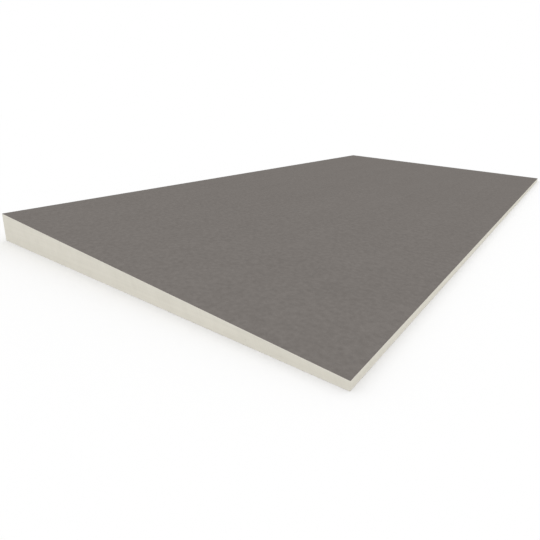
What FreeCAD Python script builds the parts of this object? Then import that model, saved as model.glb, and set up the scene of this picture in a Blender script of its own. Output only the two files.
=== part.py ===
import FreeCAD, Part
import math
import os

# Tapered polyiso roof insulation board: a wedge of rigid foam with a thin felt facer bonded to each broad
# face. The board lies flat on its bottom facer. X runs across it, down the slope from the high edge to the low
# edge, Y runs along it and Z is up. The origin is the middle of the underside. All sizes are in millimetres.

# Driving sizes
board_width = 1219.2  # along X, the way the slope falls: 4 ft
board_length = 2438.4  # along Y: 8 ft
high_edge_thickness = 88.9  # the whole board at its high edge, both facers included
low_edge_thickness = 17.5  # the whole board at its low edge, both facers included
top_facer_thickness = 0.5  # measured square to the slope
bottom_facer_thickness = 0.5

# Sizes that follow from them
high_edge_x = -board_width / 2
low_edge_x = board_width / 2
slope = (high_edge_thickness - low_edge_thickness) / board_width
top_facer_height = top_facer_thickness / math.cos(math.atan(slope))  # the same facer, measured straight up


def board_piece(outline):
    """A solid with this outline of (x, z) corners across the board, as long as the board is."""
    start_y = -board_length / 2
    corners = [FreeCAD.Vector(x, start_y, z) for x, z in outline]
    profile = Part.Face(Part.makePolygon(corners + corners[:1]))
    return profile.extrude(FreeCAD.Vector(0, board_length, 0))


def bottom_facer():
    """The flat felt sheet that the board lies on."""
    return board_piece(
        [
            (high_edge_x, 0),
            (low_edge_x, 0),
            (low_edge_x, bottom_facer_thickness),
            (high_edge_x, bottom_facer_thickness),
        ]
    )


def foam_core():
    """The foam wedge, which fills the space between the facers. Its sides are cut square to the underside."""
    return board_piece(
        [
            (high_edge_x, bottom_facer_thickness),
            (low_edge_x, bottom_facer_thickness),
            (low_edge_x, low_edge_thickness - top_facer_height),
            (high_edge_x, high_edge_thickness - top_facer_height),
        ]
    )


def top_facer():
    """The felt sheet on the slope, trimmed flush with the sides of the foam."""
    return board_piece(
        [
            (high_edge_x, high_edge_thickness - top_facer_height),
            (low_edge_x, low_edge_thickness - top_facer_height),
            (low_edge_x, low_edge_thickness),
            (high_edge_x, high_edge_thickness),
        ]
    )


pieces = {
    "bottom_facer": bottom_facer(),
    "foam_core": foam_core(),
    "top_facer": top_facer(),
}

os.makedirs("parts", exist_ok=True)
for name, solid in pieces.items():
    solid.exportStep(f"parts/{name}.step")
    box = solid.BoundBox
    print(f"{name}: {box.XLength:.1f} x {box.YLength:.1f} x {box.ZLength:.2f} mm")
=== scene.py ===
import math
import random

import bmesh
import bpy
from mathutils import Matrix, Vector, noise


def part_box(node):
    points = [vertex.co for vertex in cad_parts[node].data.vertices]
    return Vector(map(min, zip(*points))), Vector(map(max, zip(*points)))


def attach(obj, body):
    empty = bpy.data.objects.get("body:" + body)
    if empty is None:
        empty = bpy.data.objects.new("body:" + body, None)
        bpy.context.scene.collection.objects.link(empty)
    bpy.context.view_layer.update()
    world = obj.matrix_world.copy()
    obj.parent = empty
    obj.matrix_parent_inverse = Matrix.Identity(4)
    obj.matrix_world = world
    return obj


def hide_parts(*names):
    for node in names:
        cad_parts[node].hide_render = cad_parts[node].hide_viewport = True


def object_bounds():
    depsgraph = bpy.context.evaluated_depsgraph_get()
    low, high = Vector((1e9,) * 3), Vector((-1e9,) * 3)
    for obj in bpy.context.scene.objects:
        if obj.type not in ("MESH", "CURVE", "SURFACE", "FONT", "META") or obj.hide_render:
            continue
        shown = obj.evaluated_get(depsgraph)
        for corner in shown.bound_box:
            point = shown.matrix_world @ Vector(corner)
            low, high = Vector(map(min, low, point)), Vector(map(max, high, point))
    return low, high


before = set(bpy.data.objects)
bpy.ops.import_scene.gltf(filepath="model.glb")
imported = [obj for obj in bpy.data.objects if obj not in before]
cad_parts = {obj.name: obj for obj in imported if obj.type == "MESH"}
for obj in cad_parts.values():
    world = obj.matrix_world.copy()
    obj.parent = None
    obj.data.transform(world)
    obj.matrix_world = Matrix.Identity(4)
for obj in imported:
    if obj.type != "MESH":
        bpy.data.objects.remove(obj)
cad_low, cad_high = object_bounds()

# The foam core is the body of the board: a wedge of rigid cream foam, thick along one long edge and thin
# along the other. It rises and sets between the two felts, and its four sides are then sawn square, which
# opens the fine cells, leaves a few pinholes and shows faint level lines where the foam rose in layers.
core_low, core_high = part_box("foam_core")
top_felt_low, top_felt_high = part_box("top_facer")
board_width = core_high.x - core_low.x
board_length = core_high.y - core_low.y
core_low_edge_top = top_felt_low.z
fall = (core_high.z - core_low_edge_top) / board_width
near_corners = [Vector((core_low.x, core_low.y)), Vector((core_high.x, core_low.y))]
far_corners = [Vector((core_high.x, core_high.y)), Vector((core_low.x, core_high.y))]
outline = near_corners + far_corners
on_the_line = 1e-6
near_the_side = 0.001

columns_across = 200
columns_along = 400
column_width = board_width / columns_across
saw_rows = 12
saw_wander = 0.00015
saw_wander_waves_per_metre = 3.0
saw_roughness = 0.00008
saw_grain_per_metre = 70.0
half_a_metre = 0.5

pinhole_count = 220
pinhole_seed = 11
smallest_pinhole, largest_pinhole = 0.0005, 0.0015
pinhole_cell_share = 0.36
pinhole_depth = 0.7
pinhole_steps = (0.5, 0.25)

foam_cream = (0.823, 0.791, 0.702, 1)
foam_cream_dark = (0.714, 0.686, 0.604, 1)
foam_skin = (0.84, 0.815, 0.75, 1)
foam_skin_depth = 0.0022
foam_skin_share = 0.75
# painted shade: the darker cream that stands for the shade inside the foam's shallow pits
foam_pit_shade = (0.42, 0.38, 0.30, 1)
foam_spots_per_metre = 210
foam_pit_shade_share = 0.35
foam_spot_from_chance = 0.90
foam_spot_size = 0.17
foam_spot_blur = 0.04
rise_lines_per_metre = (2.5, 2.5, 190)
rise_line_reach = 0.40
foam_clouds_per_metre = 34
foam_cloud_reach = 0.30
foam_cells_per_metre = 1500
cell_wall_from, cell_middle_from = 0.8, 0.1
cell_wall_reach = 0.25
saw_scores_per_metre = (420, 14, 0)
saw_score_lean = 0.4
saw_score_reach = 0.25
foam_roughness = (0.86, 0.96)
rise_line_depth = 0.00012
saw_score_depth = 0.00008
cell_depth = 0.00015
foam_spot_depth = 0.0004
foam_relief = 0.5
foam_gloss = 0.1

noise_low, noise_high = 0.3, 0.7
fine_detail = 3
flat_face_z = 0.5
map_edge = 0.003
map_span = 1 - 2 * map_edge
strip_fill = 0.95
foam_side_strips = 8
large_band, middle_band, small_band = (0.0, 0.86), (0.88, 0.93), (0.95, 1.0)


def add(material, kind, inputs=None, **settings):
    """A new shader node. inputs holds each socket's value, or the output that feeds it."""
    tree = material.node_tree
    shader_node = tree.nodes.new(kind)
    for name, value in settings.items():
        setattr(shader_node, name, value)
    for socket, value in (inputs or {}).items():
        if isinstance(value, bpy.types.NodeSocket):
            tree.links.new(value, shader_node.inputs[socket])
        else:
            shader_node.inputs[socket].default_value = value
    return shader_node


def new_material(name):
    """A material with an empty node tree, and each point's place in the object's own frame, in metres."""
    material = bpy.data.materials.new(name)
    material.use_nodes = True
    material.node_tree.nodes.clear()
    place = add(material, "ShaderNodeTexCoord").outputs["Object"]
    return material, place


def stretched(material, place, per_metre, turn=0):
    """The place turned about Z by these degrees, then scaled to this many repeats in a metre."""
    inputs = {"Vector": place, "Rotation": (0, 0, math.radians(turn))}
    turned = add(material, "ShaderNodeMapping", inputs).outputs[0]
    return add(material, "ShaderNodeMapping", {"Vector": turned, "Scale": per_metre}).outputs[0]


def remap(material, value, from_low, from_high, to_low=0.0, to_high=1.0):
    """The value carried from one range to another, and held inside it."""
    limits = {"From Min": from_low, "From Max": from_high, "To Min": to_low, "To Max": to_high}
    return add(material, "ShaderNodeMapRange", {"Value": value, **limits}).outputs["Result"]


def grain(material, place, scale=1.0, detail=2.0, low=noise_low, high=noise_high):
    """Soft noise, 0 where it is under low and 1 where it is over high."""
    inputs = {"Vector": place, "Scale": scale, "Detail": detail}
    clouds = add(material, "ShaderNodeTexNoise", inputs).outputs["Fac"]
    return remap(material, clouds, low, high)


def combine(material, operation, *values):
    """Values put together by a Math operation."""
    return add(material, "ShaderNodeMath", dict(enumerate(values)), operation=operation).outputs[0]


def toned(material, *layers):
    """A tone about one half, moved up and down by layers of a value from 0 to 1 and how far it reaches."""
    tone = 0.5 - sum(reach for _, reach in layers) / 2
    for value, reach in layers:
        tone = combine(material, "MULTIPLY_ADD", value, reach, tone)
    return tone


def mixed(material, share, first, second):
    """From the first colour to the second as share goes from 0 to 1. Sockets 6 and 7 take colours."""
    inputs = {0: share, 6: first, 7: second}
    return add(material, "ShaderNodeMix", inputs, data_type="RGBA").outputs[2]


def bumped(material, height, distance, strength=1.0, under=None):
    """Surface directions tilted by a height from 0 to 1 that stands for this distance."""
    inputs = {"Height": height, "Distance": distance, "Strength": strength}
    if under is not None:
        inputs["Normal"] = under
    return add(material, "ShaderNodeBump", inputs).outputs["Normal"]


def surface(material, colour, roughness, normal, gloss):
    """Ends the material in its shader."""
    inputs = {"Base Color": colour, "Roughness": roughness, "Normal": normal, "Specular IOR Level": gloss}
    shader = add(material, "ShaderNodeBsdfPrincipled", inputs)
    add(material, "ShaderNodeOutputMaterial", {"Surface": shader.outputs["BSDF"]})
    return material


def saw_scores(foam, x, y, z):
    """Faint leaning lines that the saw leaves on a side. On any one side x + y runs along it."""
    along = combine(foam, "ADD", x, y)
    leaning = combine(foam, "MULTIPLY_ADD", z, saw_score_lean, along)
    place = add(foam, "ShaderNodeCombineXYZ", {"X": leaning, "Y": z}).outputs[0]
    return grain(foam, stretched(foam, place, saw_scores_per_metre), detail=fine_detail)


def sawn_foam():
    """Cream foam, sawn: fine cells, level lines, scores, a few shallow pits darkened with painted shade, and
    a paler skin by the felts.
    """
    foam, place = new_material("sawn_polyiso_foam")
    x, y, z = add(foam, "ShaderNodeSeparateXYZ", {0: place}).outputs
    rise_lines = grain(foam, stretched(foam, place, rise_lines_per_metre), detail=fine_detail)
    clouds = grain(foam, place, foam_clouds_per_metre, detail=fine_detail)
    scores = saw_scores(foam, x, y, z)
    cell_inputs = {"Vector": place, "Scale": foam_cells_per_metre}
    cells = add(foam, "ShaderNodeTexVoronoi", cell_inputs).outputs["Distance"]
    walls = remap(foam, cells, cell_wall_from, cell_middle_from)
    layers = (
        (rise_lines, rise_line_reach),
        (clouds, foam_cloud_reach),
        (scores, saw_score_reach),
        (walls, cell_wall_reach),
    )
    colour = mixed(foam, toned(foam, *layers), foam_cream_dark, foam_cream)

    slope_height = combine(foam, "MULTIPLY_ADD", x, -fall, core_low_edge_top + fall * core_high.x)
    below_slope = combine(foam, "SUBTRACT", slope_height, z)
    above_underside = combine(foam, "SUBTRACT", z, core_low.z)
    from_felt = combine(foam, "MINIMUM", below_slope, above_underside)
    skin = remap(foam, from_felt, 0.0, foam_skin_depth, foam_skin_share, 0.0)
    colour = mixed(foam, skin, colour, foam_skin)

    # A few shallow pits, dented in by the bump below. Their darker colour is painted shade inside them.
    spots = add(foam, "ShaderNodeTexVoronoi", {"Vector": place, "Scale": foam_spots_per_metre})
    chance = add(foam, "ShaderNodeSeparateColor", {0: spots.outputs["Color"]}).outputs[0]
    spot_size = remap(foam, chance, foam_spot_from_chance, 1.0, 0.0, foam_spot_size)
    inside = combine(foam, "SUBTRACT", spot_size, spots.outputs["Distance"])
    pit_and_shade = remap(foam, inside, 0.0, foam_spot_blur)
    colour = mixed(foam, combine(foam, "MULTIPLY", pit_and_shade, foam_pit_shade_share), colour, foam_pit_shade)

    roughness = remap(foam, clouds, 0.0, 1.0, *foam_roughness)
    normal = bumped(foam, rise_lines, rise_line_depth, foam_relief)
    normal = bumped(foam, scores, saw_score_depth, foam_relief, under=normal)
    normal = bumped(foam, walls, cell_depth, foam_relief, under=normal)
    normal = bumped(foam, pit_and_shade, -foam_spot_depth, under=normal)
    return surface(foam, colour, roughness, normal, foam_gloss)


def distance_round(point, side_middle):
    """How far round the outline a point lies. side_middle is on the same side, clear of its corners."""
    run = 0.0
    for here, there in zip(outline, outline[1:] + outline[:1]):
        way = (there - here).normalized()
        if abs(way.cross(side_middle.xy - here)) < near_the_side:
            break
        run += (there - here).length
    return run + way.dot(point.xy - here)


def map_sides(bm, strips, band, height):
    """Lays the sides on this band of the map as strips, one above another, which keeps their fine grain."""
    layer = bm.loops.layers.uv.verify()
    band_low, band_high = band
    strip_length = 2 * (board_width + board_length) / strips
    strip_rise = (band_high - band_low) / strips
    for face in bm.faces:
        if abs(face.normal.z) < flat_face_z:
            middle = face.calc_center_median()
            strip = distance_round(middle, middle) // strip_length
            for loop in face.loops:
                along = distance_round(loop.vert.co, middle) / strip_length - strip
                up = strip + strip_fill * loop.vert.co.z / height
                loop[layer].uv = (map_edge + along * map_span, band_low + up * strip_rise)


def map_flat_faces(bm, facing, band):
    """Lays the faces that look up, or down where facing is -1, on this band, the board's length across it."""
    layer = bm.loops.layers.uv.verify()
    band_low, band_high = band
    for face in bm.faces:
        if face.normal.z * facing > flat_face_z:
            for loop in face.loops:
                along = (loop.vert.co.y - core_low.y) / board_length
                up = (loop.vert.co.x - core_low.x) / board_width
                loop[layer].uv = (map_edge + along * map_span, band_low + up * (band_high - band_low))


def sawn_wedge():
    """The wedge, its sides cut into columns and rows that the saw's wander and the pinholes move."""
    bm = bmesh.new()
    bmesh.ops.create_grid(bm, x_segments=1, y_segments=1, size=half_a_metre)
    bmesh.ops.scale(bm, vec=(board_width, board_length, 1), verts=bm.verts)
    middle = (core_low + core_high) / 2
    bmesh.ops.translate(bm, vec=(middle.x, middle.y, core_low.z), verts=bm.verts)
    across = [e for e in bm.edges if abs(e.verts[0].co.y - e.verts[1].co.y) < on_the_line]
    along = [e for e in bm.edges if abs(e.verts[0].co.x - e.verts[1].co.x) < on_the_line]
    bmesh.ops.bisect_edges(bm, edges=across, cuts=columns_across - 1)
    bmesh.ops.bisect_edges(bm, edges=along, cuts=columns_along - 1)

    raised = bmesh.ops.extrude_face_region(bm, geom=bm.faces[:], use_keep_orig=True)["geom"]
    for vert in raised:
        if isinstance(vert, bmesh.types.BMVert):
            vert.co.z = core_low_edge_top + (core_high.x - vert.co.x) * fall
    upright = [e for e in bm.edges if (e.verts[0].co - e.verts[1].co).xy.length < on_the_line]
    bmesh.ops.subdivide_edges(bm, edges=upright, cuts=saw_rows - 1, use_grid_fill=True)
    bmesh.ops.recalc_face_normals(bm, faces=bm.faces)

    map_sides(bm, foam_side_strips, large_band, core_high.z)
    map_flat_faces(bm, -1, middle_band)
    map_flat_faces(bm, 1, small_band)
    return bm


def soft_noise(place):
    """Smooth noise from 0 to 1, the same at the same place in every run."""
    return 0.5 + 0.5 * noise.noise(place)


def let_the_saw_wander(bm):
    """Moves each sawn side in, never out, by a slow wander along its length and a fine roughness."""
    sides = ((0, core_low.x, 1), (0, core_high.x, -1), (1, core_low.y, 1), (1, core_high.y, -1))
    for axis, flat, inwards in sides:
        for vert in [v for v in bm.verts if abs(v.co[axis] - flat) < on_the_line]:
            wander = soft_noise(vert.co * saw_wander_waves_per_metre)
            rough = soft_noise(vert.co * saw_grain_per_metre)
            vert.co[axis] += inwards * (saw_wander * wander + saw_roughness * rough)


def round_then_up(face):
    """Where a face of a side comes in order: column by column round the board, and up each column."""
    middle = face.calc_center_median()
    return distance_round(middle, middle) // column_width, middle.z


def open_pinholes(bm):
    """Opens round pinholes in the sawn sides, smaller where the board is thin. The faces are put in order
    first, so that every run picks the same ones."""
    bm.normal_update()
    sides = sorted([f for f in bm.faces if len(f.verts) == 4], key=round_then_up)
    random.seed(pinhole_seed)
    for face in random.sample(sides, pinhole_count):
        room = pinhole_cell_share * min(e.calc_length() for e in face.edges)
        radius = min(random.uniform(smallest_pinhole, largest_pinhole), room)
        inwards = -face.normal.copy()
        centre = face.calc_center_median()
        bmesh.ops.inset_individual(bm, faces=[face], thickness=room, use_interpolate=True)
        bmesh.ops.subdivide_edges(bm, edges=face.edges[:], cuts=1)
        for vert in face.verts:
            vert.co = centre + (vert.co - centre).normalized() * radius
        for share in pinhole_steps:
            bmesh.ops.inset_individual(bm, faces=[face], thickness=radius * share, use_interpolate=True)
            bmesh.ops.translate(bm, vec=inwards * radius * pinhole_depth * 2 * share, verts=face.verts[:])


def finished_piece(name, bm, material):
    """Makes the mesh an object that rides on the board and takes its finish from this material."""
    mesh = bpy.data.meshes.new(name)
    bm.to_mesh(mesh)
    bm.free()
    mesh.uv_layers[0].name = "OFBake"
    mesh.materials.append(material)
    piece = bpy.data.objects.new(name, mesh)
    bpy.context.scene.collection.objects.link(piece)
    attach(piece, "root")
    return piece


wedge = sawn_wedge()
let_the_saw_wander(wedge)
open_pinholes(wedge)
foam = finished_piece("sawn_foam_core", wedge, sawn_foam())
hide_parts("foam_core")

# The two felts are the board's facers: half a millimetre of grey paper felt with short glass fibres in it.
# The foam glues itself to them as it rises, which leaves them faintly uneven. They are trimmed with the foam,
# so their edges are flush with its sides, and foam dust clings to the cut edge of the lower one.
bottom_felt_low, bottom_felt_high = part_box("bottom_facer")
felt_rise = top_felt_high.z - core_high.z
felt_squares_across = 76
felt_squares_along = 152
felt_side_strips = 1
felt_unevenness = 0.00014
felt_waves_per_metre = Vector((13, 8, 0))

felt_grey = (0.2160, 0.1980, 0.1838, 1)
felt_grey_dark = (0.1730, 0.1577, 0.1460, 1)
felt_fibre = (0.34, 0.325, 0.31, 1)
felt_clouds_per_metre = 8
felt_cloud_reach = 0.12
felt_blotches_per_metre = 90
felt_blotch_detail = 5
felt_blotch_reach = 0.75
felt_drag_per_metre = (70, 2.5, 70)
felt_drag_reach = 0.12
felt_pulp_per_metre = 750
felt_pulp_reach = 0.6
fibres_per_metre = (2400, 85, 85)
fibre_detail = 1
fibre_turns = (5, 33, 67, 88, 121, 152)
fibre_noise_low, fibre_noise_high = 0.67, 0.77
fibre_share = 0.3
felt_roughness = (0.88, 0.97)
felt_blotch_depth = 0.00012
felt_blotch_relief = 0.4
felt_pulp_depth = 0.00004
fibre_height = 0.0001
felt_relief = 0.5
felt_gloss = 0.0

foam_dust = (0.74, 0.71, 0.62, 1)
dust_share = 0.92
dust_reach = 0.0004


def laid_fibres(felt, place):
    """Short straight fibres that lie at several turns, 1 on a fibre and 0 off it."""
    fibres = 0.0
    for turn in fibre_turns:
        turned = stretched(felt, place, fibres_per_metre, turn)
        streaks = grain(felt, turned, detail=fibre_detail, low=fibre_noise_low, high=fibre_noise_high)
        fibres = combine(felt, "MAXIMUM", fibres, streaks)
    return fibres


def dusted_edge(felt, place):
    """Where the saw's dust clings: the cut edge of the lower felt."""
    x, y, z = add(felt, "ShaderNodeSeparateXYZ", {0: place}).outputs
    inside_x = combine(felt, "SUBTRACT", core_high.x, combine(felt, "ABSOLUTE", x))
    inside_y = combine(felt, "SUBTRACT", core_high.y, combine(felt, "ABSOLUTE", y))
    from_outline = combine(felt, "MINIMUM", inside_x, inside_y)
    at_the_edge = remap(felt, from_outline, 0.0, dust_reach, dust_share, 0.0)
    low_down = remap(felt, z, bottom_felt_high.z, 2 * bottom_felt_high.z, 1.0, 0.0)
    return combine(felt, "MULTIPLY", at_the_edge, low_down)


def paper_felt():
    """Grey felt: cloudy paper pulp, short pale glass fibres lying every way, and a dull, rough face."""
    felt, place = new_material("glass_fibre_felt")
    clouds = grain(felt, place, felt_clouds_per_metre)
    blotches = grain(felt, place, felt_blotches_per_metre, detail=felt_blotch_detail)
    drag = grain(felt, stretched(felt, place, felt_drag_per_metre))
    pulp = grain(felt, place, felt_pulp_per_metre, detail=fine_detail)
    layers = (
        (clouds, felt_cloud_reach),
        (blotches, felt_blotch_reach),
        (drag, felt_drag_reach),
        (pulp, felt_pulp_reach),
    )
    colour = mixed(felt, toned(felt, *layers), felt_grey_dark, felt_grey)
    fibres = laid_fibres(felt, place)
    colour = mixed(felt, combine(felt, "MULTIPLY", fibres, fibre_share), colour, felt_fibre)
    colour = mixed(felt, dusted_edge(felt, place), colour, foam_dust)

    roughness = remap(felt, blotches, 0.0, 1.0, *felt_roughness)
    normal = bumped(felt, blotches, felt_blotch_depth, felt_blotch_relief)
    normal = bumped(felt, pulp, felt_pulp_depth, felt_relief, under=normal)
    normal = bumped(felt, fibres, fibre_height, felt_relief, under=normal)
    return surface(felt, colour, roughness, normal, felt_gloss)


def felt_sheet(glued_height, open_height, drop):
    """A felt between the heights of its glued and open faces, both given at the middle of the board. drop is
    how far it falls for each metre across."""
    bm = bmesh.new()
    squares = {"x_segments": felt_squares_across, "y_segments": felt_squares_along}
    bmesh.ops.create_grid(bm, **squares, size=half_a_metre)
    bmesh.ops.scale(bm, vec=(board_width, board_length, 1), verts=bm.verts)
    raised = bmesh.ops.extrude_face_region(bm, geom=bm.faces[:], use_keep_orig=True)["geom"]
    open_side = [g for g in raised if isinstance(g, bmesh.types.BMVert)]
    bmesh.ops.translate(bm, vec=(0, 0, open_height - glued_height), verts=open_side)
    bmesh.ops.recalc_face_normals(bm, faces=bm.faces)

    outwards = math.copysign(1, open_height - glued_height)
    map_flat_faces(bm, outwards, large_band)
    map_flat_faces(bm, -outwards, middle_band)
    map_sides(bm, felt_side_strips, small_band, open_height - glued_height)

    for vert in open_side:
        waves = Vector(a * b for a, b in zip(vert.co, felt_waves_per_metre))
        vert.co.z -= outwards * felt_unevenness * soft_noise(waves)
    for vert in bm.verts:
        vert.co.z += glued_height - vert.co.x * drop
    bm.normal_update()
    return bm


felt = paper_felt()
core_middle_top = (core_high.z + core_low_edge_top) / 2
top_sheet = felt_sheet(core_middle_top, core_middle_top + felt_rise, fall)
top_felt = finished_piece("top_felt_facer", top_sheet, felt)
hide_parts("top_facer")
bottom_sheet = felt_sheet(bottom_felt_high.z, bottom_felt_low.z, 0)
bottom_felt = finished_piece("bottom_felt_facer", bottom_sheet, felt)
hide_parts("bottom_facer")

# The floor is a wide white studio floor that runs out of sight, under an even white sky of soft light. It is
# seen as pure white wherever the board doesn't shade it. Right at the board's foot a touch of painted shade
# greys it and deepens the shadow there. It passes a little less light than that on to the board.
floor_reach = 90.0
floor_gap = 0.0001
floor_seen = (1.0, 1.0, 1.0, 1)
painted_foot_shade = (0.858, 0.863, 0.895, 1)
painted_shade_reach = 0.028
floor_bounce = (0.8, 0.8, 0.8, 1)
sky_white = (1.0, 1.0, 1.0, 1)
sky_strength = 1.0


def studio_floor():
    """White where it is seen, directly or in a reflection, greyed with painted shade by the board's foot, and
    pale grey for the light it passes on.
    """
    white, _ = new_material("studio_floor")
    path = add(white, "ShaderNodeLightPath").outputs
    seen = combine(white, "MAXIMUM", path["Is Camera Ray"], path["Is Glossy Ray"])
    seen = combine(white, "MAXIMUM", seen, path["Is Transmission Ray"])
    # Painted shade: the seen colour greys where ambient occlusion finds the board close by, at its foot.
    open_sky = add(white, "ShaderNodeAmbientOcclusion", {"Distance": painted_shade_reach}).outputs["AO"]
    colour = mixed(white, open_sky, painted_foot_shade, floor_seen)
    shader = add(white, "ShaderNodeBsdfDiffuse", {"Color": mixed(white, seen, floor_bounce, colour)})
    add(white, "ShaderNodeOutputMaterial", {"Surface": shader.outputs[0]})
    return white


ground = bmesh.new()
bmesh.ops.create_grid(ground, x_segments=1, y_segments=1, size=floor_reach)
bmesh.ops.translate(ground, vec=(0, 0, cad_low.z - floor_gap), verts=ground.verts)
floor_mesh = bpy.data.meshes.new("floor")
ground.to_mesh(floor_mesh)
ground.free()
floor_mesh.materials.append(studio_floor())
floor = bpy.data.objects.new("floor", floor_mesh)
bpy.context.scene.collection.objects.link(floor)

world = bpy.data.worlds.new("studio")
bpy.context.scene.world = world
world.use_nodes = True
sky = world.node_tree.nodes["Background"]
sky.inputs["Color"].default_value = sky_white
sky.inputs["Strength"].default_value = sky_strength
bpy.context.scene.view_settings.view_transform = "Standard"

# The camera stands low and close to the thin near corner and looks along the board towards the far end.
camera_place = Vector((0.8339, -1.6958, 0.3873))
level = math.radians(90)
camera_heading = math.radians(37.79)
camera_dip = math.radians(13.70)
camera_roll = math.radians(-0.16)
camera_lens = 27.29
camera_sensor = 36.0
camera_shift = -0.1009

camera_data = bpy.data.cameras.new("camera")
camera_data.lens = camera_lens
camera_data.sensor_width = camera_sensor
camera_data.shift_y = camera_shift
camera = bpy.data.objects.new("camera", camera_data)
turned = Matrix.Rotation(camera_heading, 4, "Z")
tipped = Matrix.Rotation(level - camera_dip, 4, "X")
rolled = Matrix.Rotation(camera_roll, 4, "Z")
camera.matrix_world = Matrix.Translation(camera_place) @ turned @ tipped @ rolled
bpy.context.scene.collection.objects.link(camera)
bpy.context.scene.camera = camera
